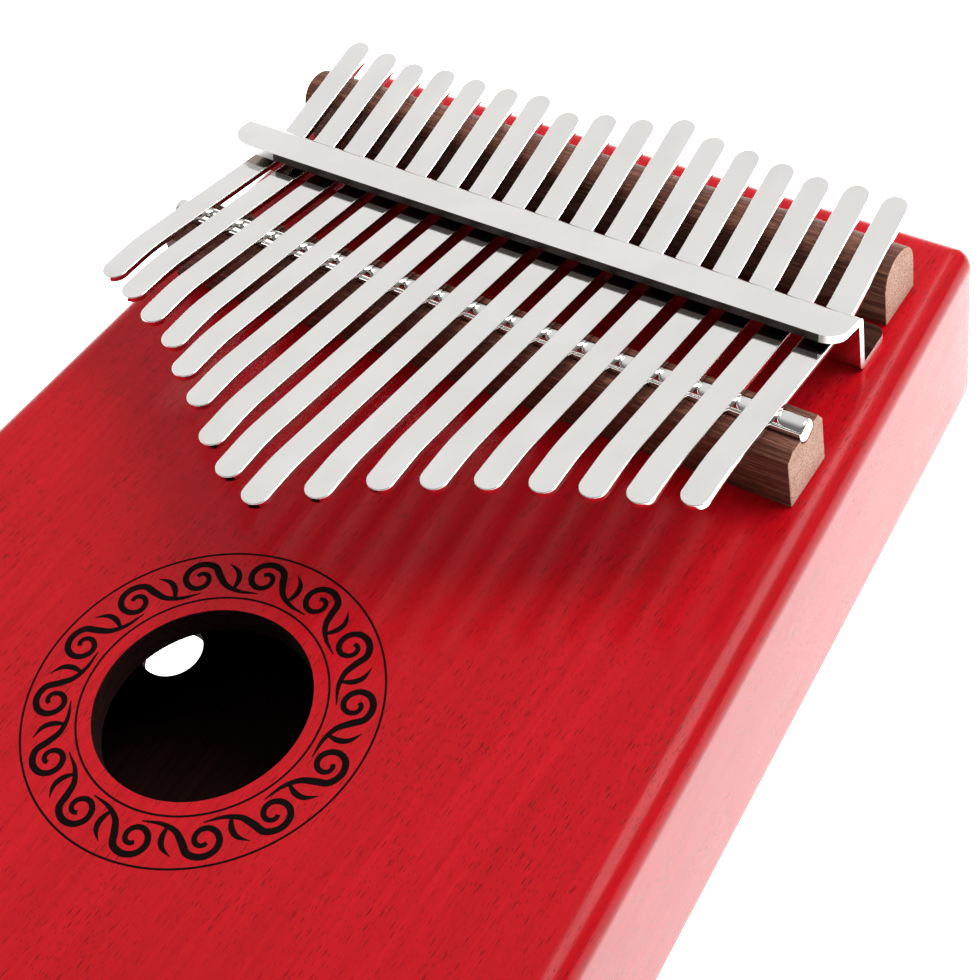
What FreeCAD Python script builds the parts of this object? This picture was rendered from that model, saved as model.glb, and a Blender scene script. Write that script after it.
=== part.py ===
import FreeCAD, Part
import Sketcher
import math
import os

# A box mbira (kalimba): a tapered hollow wooden box, two hardwood bridges, a steel rod,
# a slotted Z bracket that holds the tines down, and 17 spring-steel tines.
# Frame: +X to the player's right, +Y away from the player, +Z up from the soundboard.
# The origin is on the underside of the box, at the middle of its outline.

doc = FreeCAD.newDocument("Mbira")

# ---------------------------------------------------------------- driving dimensions (mm)

DIMENSIONS = {
    # box
    "body_length": 183.0,
    "front_width": 136.5,
    "rear_width": 112.8,
    "body_height": 32.8,
    "soundboard_thickness": 4.5,
    "back_thickness": 3.5,
    "rib_thickness": 9.0,
    "corner_radius": 4.0,
    "top_round": 4.0,
    "bottom_round": 2.5,
    # sound hole in the top, and the two finger holes in the back
    "hole_y": -28.7,
    "hole_radius": 15.3,
    "wah_x": 30.0,
    "wah_y": -11.0,
    "wah_radius": 5.0,
    # brace glued under the soundboard; the bracket's screws bite into it
    "brace_y": 65.2,
    "brace_width": 16.0,
    "brace_depth": 11.0,
    # front bridge and the rod in its groove
    "front_bridge_y": 39.7,
    "front_bridge_width": 9.9,
    "front_bridge_depth": 10.3,
    "front_bridge_length": 109.8,
    "front_bridge_shift": 0.5,
    "front_bridge_bevel": 0.9,
    "rod_y": 40.3,
    "rod_lift": 10.3,
    "rod_radius": 1.75,
    "rod_length": 110.2,
    "rod_shift": 0.4,
    "groove_clearance": 0.03,
    # rear bridge
    "rear_bridge_y": 75.2,
    "rear_bridge_width": 9.0,
    "rear_bridge_depth": 10.4,
    "rear_bridge_length": 105.0,
    "rear_bridge_shift": -0.5,
    "rear_bridge_front_round": 3.7,
    "rear_bridge_back_round": 5.0,
    # slotted Z bracket
    "bracket_y": 61.6,
    "bracket_shift": -1.9,
    "bracket_length": 109.4,
    "sheet_thickness": 1.2,
    "web_top": 10.6,
    "flange_reach": 7.6,
    "flange_rise": 2.3,
    "flange_corner": 3.0,
    "foot_reach": 7.1,
    "foot_corner": 2.0,
    "slot_width": 5.0,
    "slot_bottom": 7.5,
    "slot_top": 9.5,
    # wood screws through the foot
    "screw_count": 5,
    "screw_spacing": 22.0,
    "screw_offset": 4.0,
    "screw_radius": 1.1,
    "screw_hole_clearance": 0.05,
    "screw_head_radius": 2.1,
    "screw_head_height": 1.3,
    "screw_length": 12.0,
    # tines
    "tine_count": 17,
    "tine_pitch": 6.1,
    "tine_width": 4.3,
    "tine_thickness": 1.0,
    "tine_end_radius": 2.1,
    "tine_top_at_web": 8.9,
    "tine_front_slope": 0.2,
    "tine_tail_slope": 0.245,
    "tip_reach": 8.0,
    "tip_slope": 0.03,
    "fan_step": 0.32,
}

# Reach of each tine in front of the bracket and behind it, from the player's left to right.
# The longest tine is the middle one; the scale alternates outwards from it.
FRONT_REACH = [42, 44.5, 47.5, 50.5, 55, 59, 64.5, 68.5, 71, 66, 60.5, 57, 53.5, 50.5, 48, 46, 43]
TAIL_REACH = [21, 20.5, 20, 20.5, 20.5, 20.5, 21, 19.5, 21, 22, 24, 22.5, 22, 21.5, 21, 21.5, 21.5]


def fill_sheet():
    """One row per driving dimension: its name, its value and an alias of the same name."""
    sheet = doc.addObject("Spreadsheet::Sheet", "Dims")
    rows = dict(DIMENSIONS)
    for number, (front, tail) in enumerate(zip(FRONT_REACH, TAIL_REACH), start=1):
        rows["front_reach_%02d" % number] = front
        rows["tail_reach_%02d" % number] = tail
    for row, (alias, value) in enumerate(rows.items(), start=1):
        sheet.set("A%d" % row, alias)
        sheet.set("B%d" % row, str(value))
        sheet.setAlias("B%d" % row, alias)
    return sheet


sheet = fill_sheet()
doc.recompute()

# ---------------------------------------------------------------- helpers


def new_body(label):
    body = doc.addObject("PartDesign::Body", label)
    body.Label = label
    return body


def place(body, x=None, y=None, z=None, turn=None):
    """Bind the body's Placement to the sheet; turn is an angle about +Z."""
    if turn:
        body.Placement = FreeCAD.Placement(
            FreeCAD.Vector(0, 0, 0), FreeCAD.Rotation(FreeCAD.Vector(0, 0, 1), 1)
        )
        body.setExpression("Placement.Rotation.Angle", turn)
    for axis, expression in (("x", x), ("y", y), ("z", z)):
        if expression:
            body.setExpression("Placement.Base." + axis, expression)


def new_sketch(body, plane, name):
    sketch = body.newObject("Sketcher::SketchObject", name)
    origin = [f for f in body.Origin.OriginFeatures if f.Role == plane][0]
    sketch.AttachmentSupport = (origin, [""])
    sketch.MapMode = "FlatFace"
    return sketch


def bind(sketch, constraint, expression):
    index = sketch.addConstraint(constraint)
    sketch.setExpression("Constraints[%d]" % index, expression)


def outline(body, plane, name, corners):
    """A closed outline of straight lines; each corner is a pair of expressions."""
    sketch = new_sketch(body, plane, name)
    count = len(corners)
    start = [
        FreeCAD.Vector(50 * math.cos(6.28 * i / count), 50 * math.sin(6.28 * i / count), 0)
        for i in range(count)
    ]
    for i in range(count):
        sketch.addGeometry(Part.LineSegment(start[i], start[(i + 1) % count]), False)
    for i in range(count):
        sketch.addConstraint(Sketcher.Constraint("Coincident", i, 2, (i + 1) % count, 1))
    for i, (across, along) in enumerate(corners):
        bind(sketch, Sketcher.Constraint("DistanceX", i, 1, start[i].x), across)
        bind(sketch, Sketcher.Constraint("DistanceY", i, 1, start[i].y), along)
    return sketch


def circles(body, plane, name, rings):
    """Circles in one sketch; each is (centre x, centre y, radius) as expressions."""
    sketch = new_sketch(body, plane, name)
    for i, (across, along, radius) in enumerate(rings):
        centre = FreeCAD.Vector(10 * i + 5, 5, 0)
        sketch.addGeometry(Part.Circle(centre, FreeCAD.Vector(0, 0, 1), 2), False)
        bind(sketch, Sketcher.Constraint("DistanceX", i, 3, centre.x), across)
        bind(sketch, Sketcher.Constraint("DistanceY", i, 3, centre.y), along)
        bind(sketch, Sketcher.Constraint("Radius", i, 2), radius)
    return sketch


def pad(body, sketch, length, both_ways=False):
    feature = body.newObject("PartDesign::Pad", sketch.Name + "_pad")
    feature.Profile = sketch
    feature.setExpression("Length", length)
    feature.Midplane = both_ways
    sketch.Visibility = False
    doc.recompute()
    return feature


def pocket_through(body, sketch):
    """Cut the sketch right through, both ways from its plane, and see that it cuts."""
    before = body.Shape.Volume
    feature = body.newObject("PartDesign::Pocket", sketch.Name + "_pocket")
    feature.Profile = sketch
    feature.Type = "ThroughAll"
    feature.Midplane = True
    sketch.Visibility = False
    doc.recompute()
    if body.Shape.Volume >= before - 1e-3:
        raise RuntimeError(feature.Name + " cuts nothing")
    return feature


def row_of(body, feature, length, occurrences):
    """Repeat a pocket along +X."""
    before = body.Shape.Volume
    pattern = body.newObject("PartDesign::LinearPattern", feature.Name + "_row")
    pattern.Originals = [feature]
    axis = [f for f in body.Origin.OriginFeatures if f.Role == "X_Axis"][0]
    pattern.Direction = (axis, [""])
    pattern.setExpression("Length", length)
    pattern.setExpression("Occurrences", occurrences)
    body.Tip = pattern
    doc.recompute()
    if body.Shape.Volume >= before - 1e-3:
        raise RuntimeError(pattern.Name + " cuts nothing")
    return pattern


def fillet(body, base, radius, wanted):
    """Round the edges for which wanted(edge) is true."""
    names = ["Edge%d" % i for i, e in enumerate(base.Shape.Edges, start=1) if wanted(e)]
    if not names:
        raise RuntimeError("no edge to round on " + base.Name)
    feature = body.newObject("PartDesign::Fillet", base.Name + "_round")
    feature.Base = (base, names)
    feature.setExpression("Radius", radius)
    doc.recompute()
    return feature


def runs_along(edge, axis):
    """True for a straight edge parallel to axis (0, 1 or 2)."""
    if len(edge.Vertexes) != 2 or not isinstance(edge.Curve, Part.Line):
        return False
    span = edge.Vertexes[1].Point - edge.Vertexes[0].Point
    return abs(abs(span[axis]) - span.Length) < 1e-6


def centre_of(edge):
    return edge.BoundBox.Center


FRONT_HALF = "Dims.front_width / 2"
REAR_HALF = "Dims.rear_width / 2"
LENGTH_HALF = "Dims.body_length / 2"
# Half-width lost per millimetre of length.
TAPER = "(Dims.front_width - Dims.rear_width) / 2 / Dims.body_length"

# ---------------------------------------------------------------- the box


def plan_outline(body, name):
    """The box's tapered outline, seen from above."""
    return outline(
        body,
        "XY_Plane",
        name,
        [
            ("-" + FRONT_HALF, "-" + LENGTH_HALF),
            (FRONT_HALF, "-" + LENGTH_HALF),
            (REAR_HALF, LENGTH_HALF),
            ("-" + REAR_HALF, LENGTH_HALF),
        ],
    )


def screw_holes(body, name):
    """The row of pilot holes under the bracket's foot."""
    first = "Dims.bracket_shift - (Dims.screw_count - 1) / 2 * Dims.screw_spacing"
    sketch = circles(
        body,
        "XY_Plane",
        name,
        [
            (
                first,
                "Dims.bracket_y + Dims.screw_offset",
                "Dims.screw_radius + Dims.screw_hole_clearance",
            )
        ],
    )
    hole = pocket_through(body, sketch)
    return row_of(
        body, hole, "(Dims.screw_count - 1) * Dims.screw_spacing", "Dims.screw_count"
    )


soundboard = new_body("soundboard")
board = pad(soundboard, plan_outline(soundboard, "SoundboardPlan"), "Dims.soundboard_thickness")
board = fillet(soundboard, board, "Dims.corner_radius", lambda e: runs_along(e, 2))
top_z = sheet.get("soundboard_thickness")
board = fillet(
    soundboard, board, "Dims.top_round", lambda e: abs(e.BoundBox.ZMin - top_z) < 1e-6
)
pocket_through(
    soundboard,
    circles(soundboard, "XY_Plane", "SoundHole", [("0", "Dims.hole_y", "Dims.hole_radius")]),
)
screw_holes(soundboard, "SoundboardPilots")
place(soundboard, z="Dims.body_height - Dims.soundboard_thickness")

back_plate = new_body("back_plate")
plate = pad(back_plate, plan_outline(back_plate, "BackPlan"), "Dims.back_thickness")
plate = fillet(back_plate, plate, "Dims.corner_radius", lambda e: runs_along(e, 2))
plate = fillet(
    back_plate, plate, "Dims.bottom_round", lambda e: abs(e.BoundBox.ZMax) < 1e-6
)
pocket_through(
    back_plate,
    circles(
        back_plate,
        "XY_Plane",
        "WahHoles",
        [
            ("-Dims.wah_x", "Dims.wah_y", "Dims.wah_radius"),
            ("Dims.wah_x", "Dims.wah_y", "Dims.wah_radius"),
        ],
    ),
)

RIB_DEPTH = "Dims.body_height - Dims.soundboard_thickness - Dims.back_thickness"


def is_front_inner(point):
    inner = sheet.get("front_width") / 2 - sheet.get("rib_thickness")
    return point.y < 0 and abs(abs(point.x) - inner) < 1e-3


def long_rib(label, side):
    """A side board; it runs the whole length and carries the box's rounded corners."""
    body = new_body(label)
    sketch = outline(
        body,
        "XY_Plane",
        label + "_plan",
        [
            (side + FRONT_HALF, "-" + LENGTH_HALF),
            (side + REAR_HALF, LENGTH_HALF),
            (side + "(%s - Dims.rib_thickness)" % REAR_HALF, LENGTH_HALF),
            (side + "(%s - Dims.rib_thickness)" % FRONT_HALF, "-" + LENGTH_HALF),
        ],
    )
    board = pad(body, sketch, RIB_DEPTH)
    outer = 0.5 * sheet.get("rear_width") - 0.5 * sheet.get("rib_thickness")
    fillet(
        body,
        board,
        "Dims.corner_radius",
        lambda e: runs_along(e, 2)
        and abs(centre_of(e).x) > outer
        and not is_front_inner(centre_of(e)),
    )
    place(body, z="Dims.back_thickness")
    return body


def short_rib(label, end):
    """An end board, fitted between the two side boards; end is "-" in front, "" behind."""
    body = new_body(label)
    edge_half = FRONT_HALF if end else REAR_HALF
    lost = "-" if end else "+"
    outer = "(%s - Dims.rib_thickness)" % edge_half
    inner = "(%s - Dims.rib_thickness %s %s * Dims.rib_thickness)" % (edge_half, lost, TAPER)
    outer_y = end + LENGTH_HALF
    inner_y = end + "(%s - Dims.rib_thickness)" % LENGTH_HALF
    sketch = outline(
        body,
        "XY_Plane",
        label + "_plan",
        [("-" + outer, outer_y), (outer, outer_y), (inner, inner_y), ("-" + inner, inner_y)],
    )
    pad(body, sketch, RIB_DEPTH)
    place(body, z="Dims.back_thickness")
    return body


rib_left = long_rib("rib_left", "-")
rib_right = long_rib("rib_right", "")
rib_front = short_rib("rib_front", "-")
rib_rear = short_rib("rib_rear", "")


def inner_half_at(y):
    """Half the clear width between the side boards at the given y."""
    return "((Dims.front_width + Dims.rear_width) / 4 - Dims.rib_thickness - %s * (%s))" % (
        TAPER,
        y,
    )


bracket_brace = new_body("bracket_brace")
brace_front = "Dims.brace_y - Dims.brace_width / 2"
brace_rear = "Dims.brace_y + Dims.brace_width / 2"
pad(
    bracket_brace,
    outline(
        bracket_brace,
        "XY_Plane",
        "BracePlan",
        [
            ("-" + inner_half_at(brace_front), brace_front),
            (inner_half_at(brace_front), brace_front),
            (inner_half_at(brace_rear), brace_rear),
            ("-" + inner_half_at(brace_rear), brace_rear),
        ],
    ),
    "Dims.brace_depth",
)
screw_holes(bracket_brace, "BracePilots")
place(bracket_brace, z="Dims.body_height - Dims.soundboard_thickness - Dims.brace_depth")

# ---------------------------------------------------------------- bridges and rod

front_bridge = new_body("front_bridge")
half = "Dims.front_bridge_width / 2"
bevel = "Dims.front_bridge_bevel"
bar = pad(
    front_bridge,
    outline(
        front_bridge,
        "YZ_Plane",
        "FrontBridgeSection",
        [
            ("-" + half, "0"),
            (half, "0"),
            (half, "Dims.front_bridge_depth - " + bevel),
            ("%s - %s" % (half, bevel), "Dims.front_bridge_depth"),
            ("-%s + %s" % (half, bevel), "Dims.front_bridge_depth"),
            ("-" + half, "Dims.front_bridge_depth - 1.5 * " + bevel),
        ],
    ),
    "Dims.front_bridge_length",
    True,
)
pocket_through(
    front_bridge,
    circles(
        front_bridge,
        "YZ_Plane",
        "RodGroove",
        [
            (
                "Dims.rod_y - Dims.front_bridge_y",
                "Dims.rod_lift",
                "Dims.rod_radius + Dims.groove_clearance",
            )
        ],
    ),
)
place(
    front_bridge,
    x="Dims.front_bridge_shift",
    y="Dims.front_bridge_y",
    z="Dims.body_height",
)

bridge_rod = new_body("bridge_rod")
rod = pad(
    bridge_rod,
    circles(bridge_rod, "YZ_Plane", "RodSection", [("0", "0", "Dims.rod_radius")]),
    "Dims.rod_length",
    True,
)
place(
    bridge_rod,
    x="Dims.rod_shift",
    y="Dims.rod_y",
    z="Dims.body_height + Dims.rod_lift",
)

rear_bridge = new_body("rear_bridge")
half = "Dims.rear_bridge_width / 2"
hump = pad(
    rear_bridge,
    outline(
        rear_bridge,
        "YZ_Plane",
        "RearBridgeSection",
        [
            ("-" + half, "0"),
            (half, "0"),
            (half, "Dims.rear_bridge_depth"),
            ("-" + half, "Dims.rear_bridge_depth"),
        ],
    ),
    "Dims.rear_bridge_length",
    True,
)
ridge_z = sheet.get("rear_bridge_depth")
hump = fillet(
    rear_bridge,
    hump,
    "Dims.rear_bridge_front_round",
    lambda e: runs_along(e, 0) and centre_of(e).z > ridge_z - 1e-3 and centre_of(e).y < 0,
)
hump = fillet(
    rear_bridge,
    hump,
    "Dims.rear_bridge_back_round",
    lambda e: runs_along(e, 0)
    and centre_of(e).z > ridge_z - 1e-3
    and centre_of(e).y > 4.0,
)
place(
    rear_bridge,
    x="Dims.rear_bridge_shift",
    y="Dims.rear_bridge_y",
    z="Dims.body_height",
)

# ---------------------------------------------------------------- slotted Z bracket

pressure_bracket = new_body("pressure_bracket")
web_half = "Dims.sheet_thickness / 2"
sheet_z = "Dims.sheet_thickness"
section = outline(
    pressure_bracket,
    "YZ_Plane",
    "BracketSection",
    [
        ("-" + web_half, "0"),
        (web_half + " + Dims.foot_reach", "0"),
        (web_half + " + Dims.foot_reach", sheet_z),
        (web_half, sheet_z),
        (web_half, "Dims.web_top"),
        (web_half + " - Dims.flange_reach", "Dims.web_top + Dims.flange_rise"),
        (web_half + " - Dims.flange_reach", "Dims.web_top + Dims.flange_rise - " + sheet_z),
        ("-" + web_half, "Dims.web_top - Dims.sheet_thickness"),
    ],
)
strip = pad(pressure_bracket, section, "Dims.bracket_length", True)
strip = fillet(
    pressure_bracket,
    strip,
    "Dims.sheet_thickness",
    lambda e: runs_along(e, 0)
    and abs(centre_of(e).z - sheet.get("web_top")) < 1e-3
    and centre_of(e).y > 0,
)
end_x = sheet.get("bracket_length") / 2


def is_flange_corner(edge):
    at = centre_of(edge)
    front_y = sheet.get("sheet_thickness") / 2 - sheet.get("flange_reach")
    return abs(abs(at.x) - end_x) < 1e-3 and abs(at.y - front_y) < 1e-3 and runs_along(edge, 2)


def is_foot_corner(edge):
    at = centre_of(edge)
    rear_y = sheet.get("sheet_thickness") / 2 + sheet.get("foot_reach")
    return abs(abs(at.x) - end_x) < 1e-3 and abs(at.y - rear_y) < 1e-3 and runs_along(edge, 2)


strip = fillet(pressure_bracket, strip, "Dims.flange_corner", is_flange_corner)
strip = fillet(pressure_bracket, strip, "Dims.foot_corner", is_foot_corner)

first_slot = "(-(Dims.tine_count - 1) / 2 * Dims.tine_pitch - Dims.bracket_shift)"
slot = pocket_through(
    pressure_bracket,
    outline(
        pressure_bracket,
        "XZ_Plane",
        "TineSlot",
        [
            (first_slot + " - Dims.slot_width / 2", "Dims.slot_bottom"),
            (first_slot + " + Dims.slot_width / 2", "Dims.slot_bottom"),
            (first_slot + " + Dims.slot_width / 2", "Dims.slot_top"),
            (first_slot + " - Dims.slot_width / 2", "Dims.slot_top"),
        ],
    ),
)
row_of(
    pressure_bracket, slot, "(Dims.tine_count - 1) * Dims.tine_pitch", "Dims.tine_count"
)


def foot_holes(body):
    """The row of screw holes in the foot, in the bracket's own frame."""
    sketch = circles(
        body,
        "XY_Plane",
        "FootHoles",
        [
            (
                "-(Dims.screw_count - 1) / 2 * Dims.screw_spacing",
                "Dims.screw_offset",
                "Dims.screw_radius + Dims.screw_hole_clearance",
            )
        ],
    )
    feature = body.newObject("PartDesign::Pocket", "FootHoles_pocket")
    feature.Profile = sketch
    feature.Type = "Length"
    feature.Reversed = True
    feature.setExpression("Length", "2 * Dims.sheet_thickness")
    sketch.Visibility = False
    doc.recompute()
    return row_of(
        body, feature, "(Dims.screw_count - 1) * Dims.screw_spacing", "Dims.screw_count"
    )


foot_holes(pressure_bracket)
place(
    pressure_bracket,
    x="Dims.bracket_shift",
    y="Dims.bracket_y",
    z="Dims.body_height",
)


def make_screw(number):
    """A pan-head wood screw, turned about its own axis; its head sits on the foot."""
    body = new_body("bracket_screw_%d" % number)
    under_head = "Dims.sheet_thickness"
    head_top = "Dims.sheet_thickness + Dims.screw_head_height"
    tip = "Dims.sheet_thickness - Dims.screw_length"
    section = outline(
        body,
        "XZ_Plane",
        body.Label + "_section",
        [
            ("0", tip),
            ("Dims.screw_radius", tip + " + 2 * Dims.screw_radius"),
            ("Dims.screw_radius", under_head),
            ("Dims.screw_head_radius", under_head),
            ("Dims.screw_head_radius", head_top + " - Dims.screw_head_height / 2"),
            ("Dims.screw_head_radius * 0.6", head_top),
            ("0", head_top),
        ],
    )
    turned = body.newObject("PartDesign::Revolution", body.Label + "_turned")
    turned.Profile = section
    turned.ReferenceAxis = (section, ["V_Axis"])
    turned.Angle = 360
    section.Visibility = False
    doc.recompute()
    step = "(%d - (Dims.screw_count - 1) / 2)" % (number - 1)
    place(
        body,
        x="Dims.bracket_shift + %s * Dims.screw_spacing" % step,
        y="Dims.bracket_y + Dims.screw_offset",
        z="Dims.body_height",
    )
    return body


screws = [make_screw(n) for n in range(1, int(DIMENSIONS["screw_count"]) + 1)]

# ---------------------------------------------------------------- tines


def make_tine(number):
    """A tine seen from the side, padded to its width; its origin is where it passes the web.

    It runs straight up to the front from the bracket's slot, over the rod, and ends in a
    flatter playing tip. Behind the slot it rises again over the rear bridge.
    """
    body = new_body("tine_%02d" % number)
    front = "Dims.front_reach_%02d" % number
    tail = "Dims.tail_reach_%02d" % number
    bend_y = "(%s - Dims.tip_reach)" % front
    web_z = "Dims.tine_top_at_web"
    bend_z = "(%s + Dims.tine_front_slope * %s)" % (web_z, bend_y)
    tip_z = "(%s + Dims.tip_slope * Dims.tip_reach)" % bend_z
    tail_z = "(%s + Dims.tine_tail_slope * %s)" % (web_z, tail)
    top = [("-" + front, tip_z), ("-" + bend_y, bend_z), ("0", web_z), (tail, tail_z)]
    under = [(across, "%s - Dims.tine_thickness" % z) for across, z in reversed(top)]
    profile = outline(body, "YZ_Plane", body.Label + "_profile", top + under)
    blank = pad(body, profile, "Dims.tine_width", True)
    fillet(body, blank, "Dims.tine_end_radius", lambda e: runs_along(e, 2))
    step = "(%d - (Dims.tine_count - 1) / 2)" % (number - 1)
    place(
        body,
        x=step + " * Dims.tine_pitch",
        y="Dims.bracket_y",
        z="Dims.body_height",
        turn=step + " * Dims.fan_step",
    )
    return body


tines = [make_tine(n) for n in range(1, int(DIMENSIONS["tine_count"]) + 1)]

# ---------------------------------------------------------------- check and export

doc.recompute()

pieces = [soundboard, back_plate, rib_left, rib_right, rib_front, rib_rear, bracket_brace]
pieces += [front_bridge, bridge_rod, rear_bridge, pressure_bracket] + screws + tines

for item in doc.Objects:
    if "Invalid" in item.State or "Error" in item.State:
        raise RuntimeError("%s did not recompute: %s" % (item.Label, item.State))
for piece in pieces:
    if piece.Shape.isNull() or not piece.Shape.isValid():
        raise RuntimeError(piece.Label + " has no valid shape")
    if len(piece.Shape.Solids) != 1:
        raise RuntimeError("%s has %d solids" % (piece.Label, len(piece.Shape.Solids)))

os.makedirs("parts", exist_ok=True)
for piece in pieces:
    piece.Shape.exportStep(os.path.join("parts", piece.Label + ".step"))
    print("%-18s %9.1f mm3" % (piece.Label, piece.Shape.Volume))
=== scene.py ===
import math

import bmesh
import bpy
from mathutils import Euler, Matrix, Vector


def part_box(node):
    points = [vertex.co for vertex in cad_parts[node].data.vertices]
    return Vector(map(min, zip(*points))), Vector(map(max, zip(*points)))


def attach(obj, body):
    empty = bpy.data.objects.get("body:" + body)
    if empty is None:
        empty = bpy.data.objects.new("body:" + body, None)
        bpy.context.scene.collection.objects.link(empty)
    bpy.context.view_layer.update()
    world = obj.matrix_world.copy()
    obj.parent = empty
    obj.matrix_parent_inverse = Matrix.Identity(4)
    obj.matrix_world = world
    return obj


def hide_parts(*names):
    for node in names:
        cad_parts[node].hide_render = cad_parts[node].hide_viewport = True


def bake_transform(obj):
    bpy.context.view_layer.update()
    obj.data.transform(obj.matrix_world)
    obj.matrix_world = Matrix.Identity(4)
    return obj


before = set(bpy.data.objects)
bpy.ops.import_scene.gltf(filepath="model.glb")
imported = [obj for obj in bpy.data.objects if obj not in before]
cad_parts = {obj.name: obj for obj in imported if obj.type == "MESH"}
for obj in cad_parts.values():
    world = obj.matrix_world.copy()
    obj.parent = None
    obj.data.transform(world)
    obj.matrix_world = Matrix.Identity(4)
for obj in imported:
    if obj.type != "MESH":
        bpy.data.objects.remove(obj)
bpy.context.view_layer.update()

MM = 0.001

# ---------------------------------------------------------------- main sizes (mm)

# sizes of the object; those that the frame can give are read from it

TOP_LO, TOP_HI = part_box("soundboard")
TOP_Z = TOP_HI.z / MM
BOARD = (TOP_HI.z - TOP_LO.z) / MM
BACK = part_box("back_plate")[1].z / MM
RIB = 9.0
LENGTH = (TOP_HI.y - TOP_LO.y) / MM
FRONT_HALF = 136.5 / 2
REAR_HALF = 112.8 / 2
CORNER = 2.6
LEAST_CORNER = 0.3  # radius that is left where the inset is larger than the corner
CORNER_STEPS = 10
WALL_CUTS = 24
TOP_ROUND = 4.0
BOTTOM_ROUND = 2.5
FLAT_MARGIN = 0.25  # narrow flat ring that keeps the shading off a rounded edge
TOP_HOLE_EDGE = 0.15
WAH_HOLE_EDGE = 0.8
HOLE_Y = -28.7
HOLE_R = 15.3
WAH_HOLES = [(-30.0, -11.0), (30.0, -11.0)]
WAH_R = 5.0

PITCH = 6.1
WEB_Y = 61.6
FRONT_REACH = [42, 44.5, 47.5, 50.5, 55, 59, 64.5, 68.5, 71, 66, 60.5, 57, 53.5, 50.5, 48, 46, 43]
TAIL_REACH = [21, 20.5, 20, 20.5, 20.5, 20.5, 21, 19.5, 21, 22, 24, 22.5, 22, 21.5, 21, 21.5, 21.5]
FAN_STEP = math.radians(0.32)


# ---------------------------------------------------------------- mesh helpers


def finish_mesh(name, verts, faces, materials, body="body", smooth=35.0, picks=None):
    """A mesh object from points in mm; picks gives each face its material index."""
    mesh = bpy.data.meshes.new(name)
    mesh.from_pydata([Vector(v) * MM for v in verts], [], faces)
    return settle(mesh, name, materials, body, smooth, picks)


def settle(mesh, name, materials, body, smooth, picks=None):
    for material in materials:
        mesh.materials.append(material)
    if picks:
        mesh.polygons.foreach_set("material_index", picks)
    bm = bmesh.new()
    bm.from_mesh(mesh)
    bmesh.ops.remove_doubles(bm, verts=bm.verts, dist=1e-7)
    bmesh.ops.recalc_face_normals(bm, faces=bm.faces)
    bm.to_mesh(mesh)
    bm.free()
    mesh.shade_smooth()
    mesh.set_sharp_from_angle(angle=math.radians(smooth))
    obj = bpy.data.objects.new(name, mesh)
    bpy.context.scene.collection.objects.link(obj)
    if body:
        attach(obj, body)
    return obj


def bevel(obj, width, segments=2, angle=40.0):
    modifier = obj.modifiers.new("edges", "BEVEL")
    modifier.width = width * MM
    modifier.segments = segments
    modifier.limit_method = "ANGLE"
    modifier.angle_limit = math.radians(angle)
    modifier.harden_normals = True


def ring_faces(first, second, count):
    """Quads between two closed loops of count points that start at those indices."""
    return [
        (first + i, first + (i + 1) % count, second + (i + 1) % count, second + i)
        for i in range(count)
    ]


# ---------------------------------------------------------------- node helpers


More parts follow.
